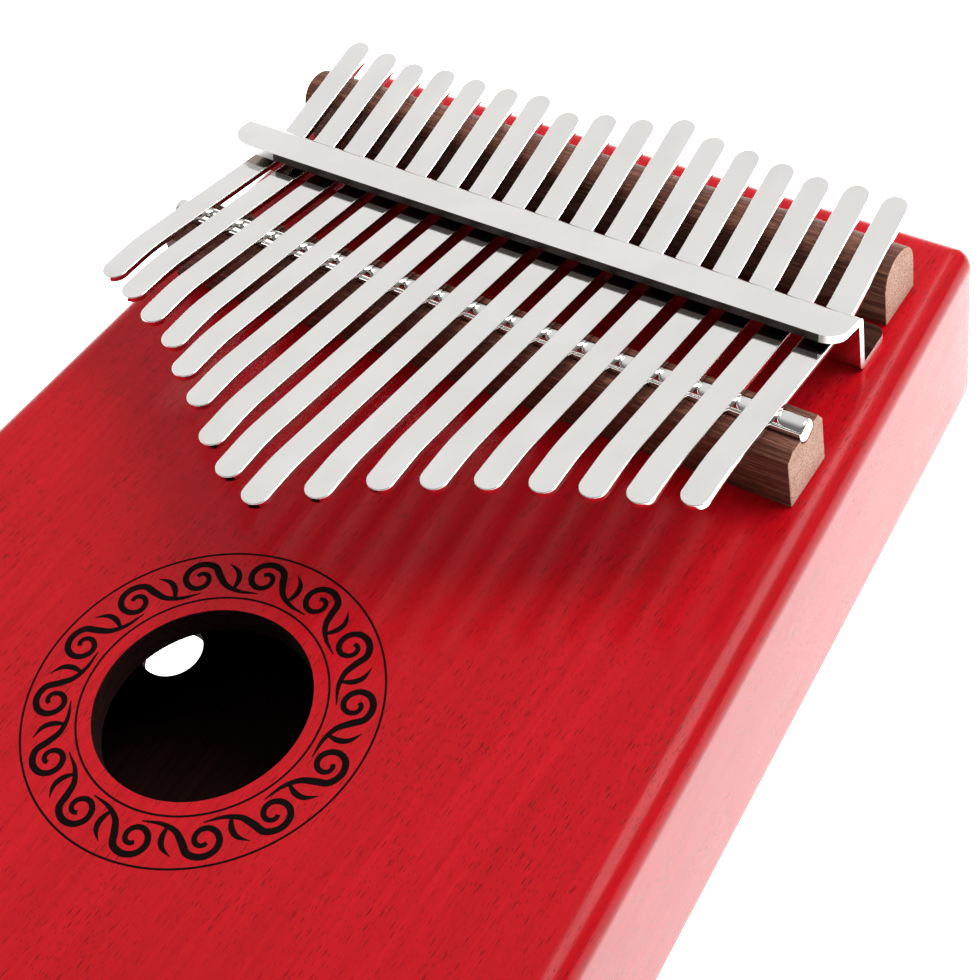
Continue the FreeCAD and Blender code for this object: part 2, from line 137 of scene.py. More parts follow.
class Nodes:
    """A small builder for one material's node tree."""

    def __init__(self, name):
        self.material = bpy.data.materials.new(name)
        self.material.use_nodes = True
        self.tree = self.material.node_tree
        self.shader = self.tree.nodes["Principled BSDF"]
        where = self.tree.nodes.new("ShaderNodeTexCoord")
        self.place, self.facing = where.outputs["Object"], where.outputs["Normal"]

    def set(self, **values):
        for key, value in values.items():
            self.shader.inputs[key.replace("_", " ")].default_value = value

    def link(self, source, target):
        self.tree.links.new(source, target)

    def stretched(self, x, y, z, tilt=(0, 0, 0)):
        """The row frame in cycles per mm along each axis, turned by tilt degrees first."""
        turn = self.tree.nodes.new("ShaderNodeMapping")
        turn.inputs["Rotation"].default_value = [math.radians(a) for a in tilt]
        self.link(self.place, turn.inputs["Vector"])
        scale = self.tree.nodes.new("ShaderNodeMapping")
        scale.inputs["Scale"].default_value = (x / MM, y / MM, z / MM)
        self.link(turn.outputs["Vector"], scale.inputs["Vector"])
        return scale.outputs["Vector"]

    def noise(self, vector, detail=3.0, rough=0.55, warp=0.0, scale=1.0):
        node = self.tree.nodes.new("ShaderNodeTexNoise")
        node.inputs["Scale"].default_value = scale
        node.inputs["Detail"].default_value = detail
        node.inputs["Roughness"].default_value = rough
        node.inputs["Distortion"].default_value = warp
        self.link(vector, node.inputs["Vector"])
        return node.outputs["Fac"]

    def in_plane(self, across, along, tilt=0.0):
        """(across the grain, along it) of the surface's own plane, in cycles per mm.

        The grain runs along Y, and along X on the faces that look along Y.
        """
        parts = self.tree.nodes.new("ShaderNodeSeparateXYZ")
        self.link(self.place, parts.inputs[0])
        x, y, z = parts.outputs
        facing = self.tree.nodes.new("ShaderNodeSeparateXYZ")
        self.link(self.facing, facing.inputs[0])
        end = self.math("GREATER_THAN", self.math("ABSOLUTE", facing.outputs[1]), 0.7)
        side = self.math("SUBTRACT", 1.0, end)
        down = self.math("MULTIPLY", z, self.math("SIGN", x))
        unrolled = self.math("MULTIPLY", self.math("SUBTRACT", x, down), side)
        u = self.math("ADD", self.math("MULTIPLY", z, end), unrolled)
        v = self.math("ADD", self.math("MULTIPLY", y, side), self.math("MULTIPLY", x, end))
        flat = self.tree.nodes.new("ShaderNodeCombineXYZ")
        self.link(u, flat.inputs[0])
        self.link(v, flat.inputs[1])
        turn = self.tree.nodes.new("ShaderNodeMapping")
        turn.inputs["Rotation"].default_value = (0, 0, math.radians(tilt))
        self.link(flat.outputs[0], turn.inputs["Vector"])
        scale = self.tree.nodes.new("ShaderNodeMapping")
        scale.inputs["Scale"].default_value = (across / MM, along / MM, 1.0)
        self.link(turn.outputs["Vector"], scale.inputs["Vector"])
        return scale.outputs["Vector"]

    def cells(self, vector):
        """Distance to the nearest scattered point of the plane, and that point's own colour."""
        node = self.tree.nodes.new("ShaderNodeTexVoronoi")
        node.voronoi_dimensions = "2D"
        node.inputs["Scale"].default_value = 1.0
        node.inputs["Randomness"].default_value = 1.0
        self.link(vector, node.inputs["Vector"])
        return node.outputs["Distance"], node.outputs["Color"]

    def ramp(self, value, *stops):
        """stops are (position, colour or grey)."""
        node = self.tree.nodes.new("ShaderNodeValToRGB")
        line = node.color_ramp
        while len(line.elements) < len(stops):
            line.elements.new(0.5)
        for element, (position, colour) in zip(line.elements, stops):
            element.position = position
            if isinstance(colour, (int, float)):
                colour = (colour, colour, colour)
            element.color = (*colour, 1)
        self.link(value, node.inputs["Fac"])
        return node.outputs["Color"]

    def math(self, operation, a, b=0.5):
        node = self.tree.nodes.new("ShaderNodeMath")
        node.operation = operation
        for socket, value in zip(node.inputs, (a, b)):
            if isinstance(value, (int, float)):
                socket.default_value = value
            else:
                self.link(value, socket)
        return node.outputs[0]

    def mix(self, share, a, b, blend="MIX"):
        node = self.tree.nodes.new("ShaderNodeMix")
        node.data_type = "RGBA"
        node.blend_type = blend
        for socket, value in zip((node.inputs[0], node.inputs[6], node.inputs[7]), (share, a, b)):
            if isinstance(value, (int, float)):
                socket.default_value = value
            elif isinstance(value, tuple):
                socket.default_value = (*value, 1)
            else:
                self.link(value, socket)
        return node.outputs[2]

    def bump(self, height, strength, distance):
        node = self.tree.nodes.new("ShaderNodeBump")
        node.inputs["Strength"].default_value = strength
        node.inputs["Distance"].default_value = distance * MM
        self.link(height, node.inputs["Height"])
        self.link(node.outputs["Normal"], self.shader.inputs["Normal"])

    def colour(self, source):
        self.link(source, self.shader.inputs["Base Color"])

    def roughness(self, source):
        self.link(source, self.shader.inputs["Roughness"])


def red_lacquer():
    """Mahogany stained deep red under satin lacquer; the grain and its pores run along Y."""
    n = Nodes("red_lacquer")
    broad = n.noise(n.stretched(0.03, 0.015, 0.03), 2.0)
    streaks = n.noise(n.stretched(0.9, 0.03, 0.9, (0, 0, 1.5)), 6.0, 0.6, 0.4)
    fine = n.noise(n.stretched(5.0, 0.35, 5.0, (0, 0, -1)), 4.0, 0.6)
    tone = n.ramp(streaks, (0.3, (0.46, 0.003, 0.008)), (0.7, (0.61, 0.006, 0.013)))
    tone = n.mix(n.ramp(broad, (0.35, 0.0), (0.65, 0.4)), tone, (0.41, 0.003, 0.008))
    tone = n.mix(n.ramp(fine, (0.35, 0.14), (0.6, 0.0)), tone, (0.14, 0.002, 0.005))
    patches = n.noise(n.stretched(0.10, 0.05, 0.10), 3.0, 0.6)
    crowd = n.ramp(patches, (0.38, 0.35), (0.62, 1.0))
    distance, random = n.cells(n.in_plane(1.1, 0.15, 2.0))
    pore = n.math("MULTIPLY", n.ramp(distance, (0.05, 1.0), (0.13, 0.0)),
                  n.ramp(random, (0.30, 0.0), (0.34, 1.0)))
    small_distance, small_random = n.cells(n.in_plane(2.3, 0.5, -3.0))
    small = n.math("MULTIPLY", n.ramp(small_distance, (0.07, 1.0), (0.19, 0.0)),
                   n.ramp(small_random, (0.36, 0.0), (0.42, 0.85)))
    pores = n.math("MULTIPLY", n.math("MAXIMUM", pore, small), crowd)
    n.colour(n.mix(n.math("MULTIPLY", pores, 0.8), tone, (0.05, 0.002, 0.004)))
    n.roughness(n.ramp(n.noise(n.stretched(0.5, 0.1, 0.5), 3.0), (0.3, 0.17), (0.7, 0.24)))
    n.bump(n.math("SUBTRACT", n.math("MULTIPLY", fine, 0.2), pores), 0.25, 0.06)
    n.set(Specular_IOR_Level=0.13)
    return n.material


def walnut(name, end=False):
    """Dark walnut with its grain along X; end=True is the sawn end grain, paler partly of its own
    and partly as painted light for the light that falls on the bar's ends.
    """
    n = Nodes(name)
    if end:
        wide = n.noise(n.stretched(0.3, 0.35, 0.5), 3.0, 0.6, 0.8)
        # painted light: the end grain's tone is set far paler than the sides, partly its own
        # colour and partly for the light on the ends
        tone = n.ramp(wide, (0.3, (0.66, 0.39, 0.30)), (0.7, (0.80, 0.54, 0.43)))
        rays = n.noise(n.stretched(0.5, 3.0, 1.2, (35, 0, 0)), 4.0, 0.7)
        tone = n.mix(n.ramp(rays, (0.4, 0.35), (0.6, 0.0)), tone, (0.48, 0.25, 0.17))
        distance, random = n.cells(n.in_plane(2.7, 2.3, 20.0))
        dots = n.math(
            "MULTIPLY",
            n.ramp(distance, (0.14, 1.0), (0.32, 0.0)),
            n.ramp(random, (0.4, 0.0), (0.5, 1.0)),
        )
        n.colour(n.mix(n.math("MULTIPLY", dots, 0.75), tone, (0.11, 0.045, 0.03)))
        n.bump(n.math("SUBTRACT", 1.0, dots), 0.5, 0.1)
        n.set(Roughness=0.8, Specular_IOR_Level=0.2)
        return n.material
    bands = n.noise(n.stretched(0.03, 0.35, 0.35), 4.0, 0.6, 0.5)
    streaks = n.noise(n.stretched(0.10, 2.2, 2.2), 6.0, 0.7, 0.3)
    tone = n.ramp(
        streaks,
        (0.34, (0.055, 0.016, 0.011)),
        (0.5, (0.15, 0.048, 0.029)),
        (0.66, (0.36, 0.15, 0.09)),
    )
    tone = n.mix(n.ramp(bands, (0.38, 0.45), (0.6, 0.0)), tone, (0.09, 0.028, 0.017))
    ticks = n.noise(n.stretched(0.45, 5.0, 5.0), 3.0, 0.6)
    pores = n.ramp(ticks, (0.36, 1.0), (0.44, 0.0))
    n.colour(n.mix(n.math("MULTIPLY", pores, 0.7), tone, (0.02, 0.007, 0.005)))
    n.roughness(n.ramp(streaks, (0.3, 0.5), (0.7, 0.65)))
    n.bump(n.math("SUBTRACT", streaks, pores), 0.5, 0.1)
    n.set(Specular_IOR_Level=0.25)
    return n.material


def painted_shade_wood():
    """The unlit inside of the box, its wood coloured near black as painted shade for the closed
    cavity.
    """
    n = Nodes("inside_wood_painted_shade")
    streaks = n.noise(n.stretched(1.6, 0.05, 1.6), 6.0, 0.65, 0.3)
    # painted shade: the inside wood is coloured near black for the shade inside the box
    n.colour(n.ramp(streaks, (0.35, (0.010, 0.003, 0.003)), (0.7, (0.030, 0.008, 0.007))))
    n.bump(streaks, 0.4, 0.1)
    n.set(Roughness=0.9, Specular_IOR_Level=0.1)
    return n.material


def burnt_line():
    """The scorched ink of the ornament."""
    n = Nodes("burnt_line")
    speck = n.noise(n.stretched(4.0, 4.0, 4.0), 4.0, 0.7)
    n.colour(n.ramp(speck, (0.35, (0.002, 0.001, 0.001)), (0.75, (0.008, 0.003, 0.003))))
    n.roughness(n.ramp(speck, (0.3, 0.7), (0.7, 0.9)))
    n.set(Specular_IOR_Level=0.06)
    return n.material


def nickel(name, colour, low, high, brushed=(0.6, 0.05, 0.6)):
    """Bright plate with faint rolling marks and a little waviness."""
    n = Nodes(name)
    marks = n.noise(n.stretched(*[8 * b for b in brushed]), 4.0, 0.6)
    clouds = n.noise(n.stretched(0.12, 0.08, 0.12), 3.0)
    dark = tuple(0.94 * c for c in colour)
    n.colour(n.mix(n.ramp(clouds, (0.35, 0.0), (0.65, 1.0)), colour, dark))
    n.roughness(n.ramp(marks, (0.35, low), (0.65, high)))
    n.bump(n.noise(n.stretched(0.35, 0.12, 0.35), 2.0), 0.06, 0.08)
    n.set(Metallic=1.0)
    return n.material


LACQUER = red_lacquer()
INSIDE_PAINTED_SHADE = painted_shade_wood()
WALNUT = walnut("walnut")
WALNUT_END_PAINTED_LIGHT = walnut("walnut_end_painted_light", end=True)
BURNT = burnt_line()
TINE_STEEL = nickel("tine_nickel", (0.80, 0.785, 0.76), 0.07, 0.12)
BRACKET_STEEL = nickel("bracket_nickel", (0.82, 0.805, 0.78), 0.06, 0.11, (0.05, 0.6, 0.6))
# painted shade: a near-black plate colour for the bracket's underside and the middle of its front
# edge
SHADE_PAINTED_STEEL = nickel("shade_painted_underside", (0.12, 0.10, 0.09), 0.25, 0.4, (0.05, 0.6, 0.6))
CUT_STEEL = nickel("cut_edge", (0.88, 0.87, 0.85), 0.4, 0.55, (0.3, 0.3, 0.3))
ROD_STEEL = nickel("rod_nickel", (0.74, 0.73, 0.71), 0.05, 0.1, (0.05, 0.6, 0.6))
SCREW_STEEL = nickel("screw_zinc", (0.62, 0.61, 0.59), 0.16, 0.26, (0.5, 0.5, 0.5))


# ---------------------------------------------------------------- the box


def plan_loop(inset):
    """The tapered outline with rounded corners, moved inwards; points (x, y) in mm."""
    steps = CORNER_STEPS
    radius = max(CORNER - inset, LEAST_CORNER)
    half = LENGTH / 2
    corners = [(-FRONT_HALF, -half), (FRONT_HALF, -half), (REAR_HALF, half), (-REAR_HALF, half)]
    lines = []
    for i in range(4):
        a, b = Vector(corners[i]), Vector(corners[(i + 1) % 4])
        along = (b - a).normalized()
        lines.append((a, along, Vector((along.y, -along.x))))
    loop = []
    for i in range(4):
        (a, along_a, out_a), (b, along_b, out_b) = lines[i - 1], lines[i]
        # centre of the corner arc: both lines moved inwards by the inset and the radius
        pa, pb = a - out_a * (inset + radius), b - out_b * (inset + radius)
        t = (pb - pa).cross(along_b) / along_a.cross(along_b)
        centre = pa + along_a * t
        start = math.atan2(out_a.y, out_a.x)
        sweep = (math.atan2(out_b.y, out_b.x) - start) % (2 * math.pi)
        for k in range(steps + 1):
            angle = start + sweep * k / steps
            loop.append(centre + Vector((math.cos(angle), math.sin(angle))) * radius)
    # intermediate points, so that the long walls have even quads
    dense = []
    for i, p in enumerate(loop):
        q = loop[(i + 1) % len(loop)]
        cuts = WALL_CUTS if (i + 1) % (steps + 1) == 0 else 1
        dense += [p.lerp(q, k / cuts) for k in range(cuts)]
    return dense


def circle_loop(x, y, radius, count=72):
    return [
        Vector((x + radius * math.cos(2 * math.pi * k / count),
                y + radius * math.sin(2 * math.pi * k / count)))
        for k in range(count)
    ]


def add_loop(bm, loop, z):
    return [bm.verts.new((p.x * MM, p.y * MM, z * MM)) for p in loop]


def skin(bm, first, second, material=0):
    """Quads between two closed loops of vertices."""
    count = len(first)
    for i in range(count):
        j = (i + 1) % count
        face = bm.faces.new((first[i], first[j], second[j], second[i]))
        face.material_index = material


def fill_between(bm, loops, material=0):
    """Flat triangles between an outer loop and the hole loops in the same plane."""
    edges = []
    for loop in loops:
        for i, v in enumerate(loop):
            w = loop[(i + 1) % len(loop)]
            edges.append(bm.edges.get((v, w)) or bm.edges.new((v, w)))
    made = bmesh.ops.triangle_fill(bm, use_beauty=True, use_dissolve=False, edges=edges)
    for item in made["geom"]:
        if isinstance(item, bmesh.types.BMFace):
            item.material_index = material


def board(name, z_out, z_in, round_out, holes, edge, nodes):
    """A top or back plate: z_out is its outer face, z_in the glued one, holes (x, y, radius)."""
    side = 1 if z_out > z_in else -1
    bm = bmesh.new()
    walls = [add_loop(bm, plan_loop(0), z_in)]
    steps = 14
    for k in range(steps + 1):
        angle = math.pi / 2 * k / steps
        inset = round_out * (1 - math.cos(angle))
        z = z_out - side * round_out * (1 - math.sin(angle))
        walls.append(add_loop(bm, plan_loop(inset), z))
    guard = add_loop(bm, plan_loop(round_out + FLAT_MARGIN), z_out)
    walls.append(guard)
    for a, b in zip(walls, walls[1:]):
        skin(bm, a, b)
    outer_holes, inner_holes = [], []
    for x, y, radius in holes:
        rims = [add_loop(bm, circle_loop(x, y, radius + edge + FLAT_MARGIN), z_out)]
        for k in range(7):
            angle = math.pi / 2 * k / 6
            reach = radius + edge * (1 - math.sin(angle))
            z = z_out - side * edge * (1 - math.cos(angle))
            rims.append(add_loop(bm, circle_loop(x, y, reach), z))
        rims.append(add_loop(bm, circle_loop(x, y, radius), z_out - side * (edge + 0.5)))
        # lacquer on the flat margin and the first step of the rounded edge, bare wood below,
        # coloured near black as painted shade
        for k, (a, b) in enumerate(zip(rims, rims[1:])):
            skin(bm, a, b, 1 if k > 1 else 0)
        inner = add_loop(bm, circle_loop(x, y, radius), z_in)
        skin(bm, rims[-1], inner, 1)
        outer_holes.append(rims[0])
        inner_holes.append(inner)
    fill_between(bm, [guard] + outer_holes)
    fill_between(bm, [walls[0]] + inner_holes, 1)
    mesh = bpy.data.meshes.new(name)
    bm.to_mesh(mesh)
    bm.free()
    obj = settle(mesh, name, [LACQUER, INSIDE_PAINTED_SHADE], "body", 30.0)
    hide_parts(*nodes)
    return obj


def rim():
    """The four side boards, with square inner corners, as one lacquered wall."""
    low, high = BACK, TOP_Z - BOARD
    bm = bmesh.new()
    outer_low = add_loop(bm, plan_loop(0), low)
    outer_high = add_loop(bm, plan_loop(0), high)
    inside = plan_loop(RIB)
    inner_low = add_loop(bm, inside, low)
    inner_high = add_loop(bm, inside, high)
    skin(bm, outer_low, outer_high)
    skin(bm, inner_low, inner_high, 1)
    skin(bm, outer_low, inner_low, 1)
    skin(bm, outer_high, inner_high, 1)
    mesh = bpy.data.meshes.new("side_boards")
    bm.to_mesh(mesh)
    bm.free()
    obj = settle(mesh, "side_boards", [LACQUER, INSIDE_PAINTED_SHADE], "body", 30.0)
    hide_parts("rib_left", "rib_right", "rib_front", "rib_rear")
    return obj


SOUND_HOLE = [(0, HOLE_Y, HOLE_R)]
FINGER_HOLES = [(*w, WAH_R) for w in WAH_HOLES]
board("top_board", TOP_Z, TOP_Z - BOARD, TOP_ROUND, SOUND_HOLE, TOP_HOLE_EDGE, ["soundboard"])
board("bottom_board", 0.0, BACK, BOTTOM_ROUND, FINGER_HOLES, WAH_HOLE_EDGE, ["back_plate"])
rim()

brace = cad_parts["bracket_brace"]
brace.data.materials.clear()
brace.data.materials.append(INSIDE_PAINTED_SHADE)


# ---------------------------------------------------------------- ornament round the hole

RING_R = 21.3  # middle of the decorated band
INNER_LINE_R = 17.5
OUTER_LINE_R = 25.2
LINE_HALF = 0.16
INK_LOW, INK_HIGH = -0.03, 0.025
PEN = 0.84  # share of a stroke's stated width that is inked
WAVES = 14
CURL_R = 2.9  # where the stem meets the curl
CURL_TURN = 486.0  # degrees from there to its inner end
CURL_END = 0.22  # radius left there, as a share of CURL_R


def smooth_path(points, steps=9):
    """A Catmull-Rom line through (along, radius, width) points."""
    padded = [points[0]] + points + [points[-1]]
    path = []
    for i in range(1, len(padded) - 2):
        p0, p1, p2, p3 = (Vector(p) for p in padded[i - 1 : i + 3])
        for k in range(steps):
            t = k / steps
            path.append(
                0.5
                * (
                    2 * p1
                    + (p2 - p0) * t
                    + (2 * p0 - 5 * p1 + 4 * p2 - p3) * t * t
                    + (3 * p1 - p0 - 3 * p2 + p3) * t**3
                )
            )
    path.append(Vector(points[-1]))
    return path


def stroke(verts, faces, points, middle, high):
    """A flat inked stroke along points (mm along the ring, radius, width)."""
    path = smooth_path(points)
    line = []
    for along, radius, width in path:
        angle = middle + along / RING_R
        line.append((Vector((radius * math.cos(angle), radius * math.sin(angle))), width))
    first = len(verts)
    for i, (p, width) in enumerate(line):
        ahead = line[min(i + 1, len(line) - 1)][0] - line[max(i - 1, 0)][0]
        across = Vector((-ahead.y, ahead.x)).normalized() * max(PEN * width, 0.05) / 2
        for z in (INK_LOW, high):
            for q in (p - across, p + across):
                verts.append((q.x, q.y + HOLE_Y, TOP_Z + z))
    for i in range(len(line) - 1):
        a, b = first + 4 * i, first + 4 * i + 4
        faces += [(a + 2, a + 3, b + 3, b + 2), (a, b, b + 1, a + 1)]
        faces += [(a, a + 2, b + 2, b), (a + 1, b + 1, b + 3, a + 3)]
    a, b = first, first + 4 * (len(line) - 1)
    faces += [(a, a + 1, a + 3, a + 2), (b, b + 2, b + 3, b + 1)]


def wave(pitch):
    """One unit of a running wave scroll, a stem that rises into a curl: (along, radius, width)."""
    points = [
        (-pitch, RING_R - 2.6, 0.2),
        (-0.68 * pitch, RING_R - 2.65, 0.7),
        (-0.43 * pitch, RING_R - 1.7, 1.0),
    ]
    for k in range(13):
        share = k / 12
        angle = math.radians(180 - CURL_TURN * share)
        reach = CURL_R * (1 - (1 - CURL_END) * share)
        points.append(
            (reach * math.cos(angle), RING_R + reach * math.sin(angle), 1.25 - 0.45 * share)
        )
    return points


def leaf(pitch):
    """The small leaf that leaves the stem between two curls."""
    return [
        (-0.56 * pitch, RING_R - 2.3, 0.5),
        (-0.60 * pitch, RING_R - 0.7, 1.0),
        (-0.56 * pitch, RING_R + 0.8, 0.85),
        (-0.42 * pitch, RING_R + 2.1, 0.1),
    ]


def ornament():
    """A plain wave scroll between two thin rings, burnt round the sound hole."""
    verts, faces = [], []
    pitch = 2 * math.pi * RING_R / WAVES
    for unit in range(WAVES):
        middle = 2 * math.pi * unit / WAVES
        stroke(verts, faces, wave(pitch), middle, INK_HIGH)
        stroke(verts, faces, leaf(pitch), middle, INK_HIGH + 0.004)
    obj = finish_mesh("wave_scroll", verts, faces, [BURNT])
    for name, radius in (("inner_ring_line", INNER_LINE_R), ("outer_ring_line", OUTER_LINE_R)):
        verts, faces = [], []
        count, half = 180, LINE_HALF
        for reach, z in (
            (radius - half, INK_LOW),
            (radius - half, INK_HIGH),
            (radius + half, INK_HIGH),
            (radius + half, INK_LOW),
        ):
            verts += [(p.x, p.y, TOP_Z + z) for p in circle_loop(0, HOLE_Y, reach, count)]
        for k in range(4):
            faces += ring_faces(k * count, (k + 1) % 4 * count, count)
        finish_mesh(name, verts, faces, [BURNT])


ornament()


# ---------------------------------------------------------------- bridges and rod


def bar(name, section, x_low, x_high, node, edge):
    """A wooden bar: section points (y, z above the soundboard) run along X."""
    count, cuts = len(section), 24
    verts = []
    for j in range(cuts + 1):
        x = x_low + (x_high - x_low) * j / cuts
        verts += [(x, y, TOP_Z + z) for y, z in section]
    faces = [f for j in range(cuts) for f in ring_faces(j * count, (j + 1) * count, count)]
    picks = [0] * len(faces) + [1, 1]
    faces += [tuple(range(count)), tuple(range(cuts * count, (cuts + 1) * count))]
    obj = finish_mesh(name, verts, faces, [WALNUT, WALNUT_END_PAINTED_LIGHT], smooth=25.0, picks=picks)
    bevel(obj, edge, 3, 30.0)
    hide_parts(node)
    return obj


ROD_Y = 40.3
ROD_Z = 10.3
ROD_R = 1.75
ROD_EDGE = 0.45  # rounding of the rod's ends


def front_bridge():
    low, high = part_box("front_bridge")
    y0, y1 = low.y / MM, high.y / MM
    top = 10.4
    groove = [
        (
            ROD_Y + (ROD_R + 0.02) * math.cos(math.radians(a)),
            ROD_Z + (ROD_R + 0.02) * math.sin(math.radians(a)),
        )
        for a in range(2, -183, -12)
    ]
    section = [(y0, 0), (y1, 0), (y1, top - 1.9), (y1 - 1.2, top)] + groove
    section += [(y0 + 1.4, top), (y0, top - 1.1)]
    bar("front_bridge_bar", section, low.x / MM, high.x / MM, "front_bridge", 0.22)


def rear_bridge():
    low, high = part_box("rear_bridge")
    y0, y1 = low.y / MM, high.y / MM
    top, front_r, back_r = 10.75, 3.7, 5.0
    section = [(y0, 0), (y1, 0)]
    for k in range(9):
        a = math.pi / 2 * k / 8
        section.append((y1 - back_r * (1 - math.cos(a)), top - back_r * (1 - math.sin(a))))
    for k in range(9):
        a = math.pi / 2 * (1 - k / 8)
        section.append((y0 + front_r * (1 - math.cos(a)), top - front_r * (1 - math.sin(a))))
    bar("rear_bridge_bar", section, low.x / MM, high.x / MM, "rear_bridge", 0.2)


def lathe(name, profile, centre, axis, material, node, count=48):
    """Turn (distance along the axis, radius) points; centre in mm."""
    verts, faces = [], []
    for along, radius in profile:
        for k in range(count):
            a = 2 * math.pi * k / count
            c, s = radius * math.cos(a), radius * math.sin(a)
            p = (along, c, s) if axis == "X" else (c, s, along)
            verts.append(tuple(centre[m] + p[m] for m in range(3)))
    for j in range(len(profile) - 1):
        faces += ring_faces(j * count, (j + 1) * count, count)
    last = (len(profile) - 1) * count
    faces += [tuple(range(count)), tuple(range(last, last + count))]
    obj = finish_mesh(name, verts, faces, [material])
    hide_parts(node)
    return obj


def rod():
    low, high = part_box("bridge_rod")
    end, edge = (high.x - low.x) / MM / 2, ROD_EDGE
    right = []
    for k in range(6):
        a = math.pi / 2 * k / 5
        right.append((end - edge * (1 - math.sin(a)), ROD_R - edge * (1 - math.cos(a))))
    left = [(-along, radius) for along, radius in right[::-1]]
    centre = ((low.x + high.x) / MM / 2, ROD_Y, TOP_Z + ROD_Z)
    lathe("steel_rod", left + right, centre, "X", ROD_STEEL, "bridge_rod")


front_bridge()
rear_bridge()
rod()


# ---------------------------------------------------------------- slotted Z bracket

SHEET = 1.2
WEB_TOP = 10.6
SLOT = (7.6, 9.45)
SLOT_WIDTH = 5.0
FLANGE_CORNERS = (5.5, 3.0)  # left end, right end
FOOT_CORNER = 2.0
BEND = 0.1  # inner radius of the upper bend
FOOT_BEND = 0.12
FLANGE_SLOPE = 2.3 / 7.6
SHADE_PAINTED_ROWS = 8  # rows of the sheet, counted from the flange's front, whose underside is coloured near black as painted shade
SHADE_PAINTED_FRONT = 49.0  # the front edge is coloured near black as painted shade this far each side of the middle


def bracket():
    low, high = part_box("pressure_bracket")
    x0, x1 = low.x / MM, high.x / MM
    flange_y, foot_y = low.y / MM, high.y / MM
    middle = BEND + SHEET / 2  # radius of the sheet's middle line in a bend
    foot_middle = FOOT_BEND + SHEET / 2
    top_mid, foot_mid = WEB_TOP - SHEET / 2, SHEET / 2
    slots = [(i - 8) * PITCH for i in range(17)]

    def corner_cut(x, radius, far_radius):
        """How far a rounded corner cuts in at x; radius is the left end's."""
        d = min(x - x0, x1 - x)
        radius = radius if x - x0 < x1 - x else far_radius
        return radius - math.sqrt(max(radius**2 - max(radius - d, 0) ** 2, 0))

    def line_at(x):
        """The middle line of the sheet, foot end first: (y, z, normal y, normal z)."""
        points = []
        foot_end = foot_y - corner_cut(x, FOOT_CORNER, FOOT_CORNER)
        bend_y = WEB_Y + foot_middle
        for t in (0.0, 0.12, 0.5, 0.9):
            points.append((foot_end + (bend_y - foot_end) * t, foot_mid, 0.0, 1.0))
        for k in range(7):
            a = math.pi / 2 * k / 6
            ny, nz = math.sin(a), math.cos(a)
            points.append((bend_y - foot_middle * ny, foot_mid + foot_middle * (1 - nz), ny, nz))
        for z in (3.0, 5.5, *SLOT):
            points.append((WEB_Y, z, 1.0, 0.0))
        slope = math.atan(FLANGE_SLOPE)
        turn = math.pi / 2 - slope
        bend_z = top_mid - middle * math.tan(turn / 2)
        # the top bend turns the sheet forwards, so its centre is on the front side
        for k in range(1, 8):
            a = turn * k / 7
            ny, nz = math.cos(a), math.sin(a)
            points.append((WEB_Y - middle + middle * ny, bend_z + middle * nz, ny, nz))
        last_y, last_z, ny, nz = points[-1]
        front = flange_y + corner_cut(x, *FLANGE_CORNERS)
        for t in (0.3, 0.7, 0.92, 1.0):
            y = last_y + (front - last_y) * t
            points.append((y, last_z + (last_y - y) * FLANGE_SLOPE, ny, nz))
        return points

    stations = set()
    for k in range(13):
        share = 1 - math.cos(math.pi / 2 * k / 12)
        stations.add(round(x0 + FLANGE_CORNERS[0] * share, 4))
        stations.add(round(x1 - FLANGE_CORNERS[1] * share, 4))
    for x in slots:
        stations |= {round(x - SLOT_WIDTH / 2, 4), round(x + SLOT_WIDTH / 2, 4)}
    stations = sorted(s for s in stations if x0 <= s <= x1)
    rows = len(line_at(0.0))
    slot_cell = next(k for k, p in enumerate(line_at(0.0)) if abs(p[1] - SLOT[0]) < 1e-6)
    verts = []
    for x in stations:
        for y, z, ny, nz in line_at(x):
            for side in (1, -1):
                shift = side * SHEET / 2
                verts.append((x, y + ny * shift, TOP_Z + z + nz * shift))

    def quad(*corners):
        """The vertex numbers of (station, row, side) corners."""
        return tuple(2 * (j * rows + k) + side for j, k, side in corners)

    def solid(j, k):
        if not (0 <= j < len(stations) - 1 and 0 <= k < rows - 1):
            return False
        centre = (stations[j] + stations[j + 1]) / 2
        return not (k == slot_cell and any(abs(centre - s) < SLOT_WIDTH / 2 for s in slots))

    # material 0 is the plate, 1 the underside and middle front edge coloured near black as painted
    # shade, 2 a cut edge
    faces, picks = [], []
    for j in range(len(stations)):
        for k in range(rows):
            if solid(j, k):
                for s in (0, 1):
                    picks.append(1 if s and k >= rows - SHADE_PAINTED_ROWS else 0)
                    faces.append(quad((j, k, s), (j + 1, k, s), (j + 1, k + 1, s), (j, k + 1, s)))
            if solid(j, k) != solid(j, k - 1):
                picks.append(1 if k == rows - 1 and abs(stations[j]) < SHADE_PAINTED_FRONT else 2)
                faces.append(quad((j, k, 0), (j + 1, k, 0), (j + 1, k, 1), (j, k, 1)))
            if solid(j, k) != solid(j - 1, k):
                picks.append(2)
                faces.append(quad((j, k, 0), (j, k + 1, 0), (j, k + 1, 1), (j, k, 1)))
    materials = [BRACKET_STEEL, SHADE_PAINTED_STEEL, CUT_STEEL]
    obj = finish_mesh("slotted_bracket", verts, faces, materials, smooth=30.0, picks=picks)
    bevel(obj, 0.14, 2, 50.0)
    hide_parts("pressure_bracket")


bracket()


# ---------------------------------------------------------------- screws


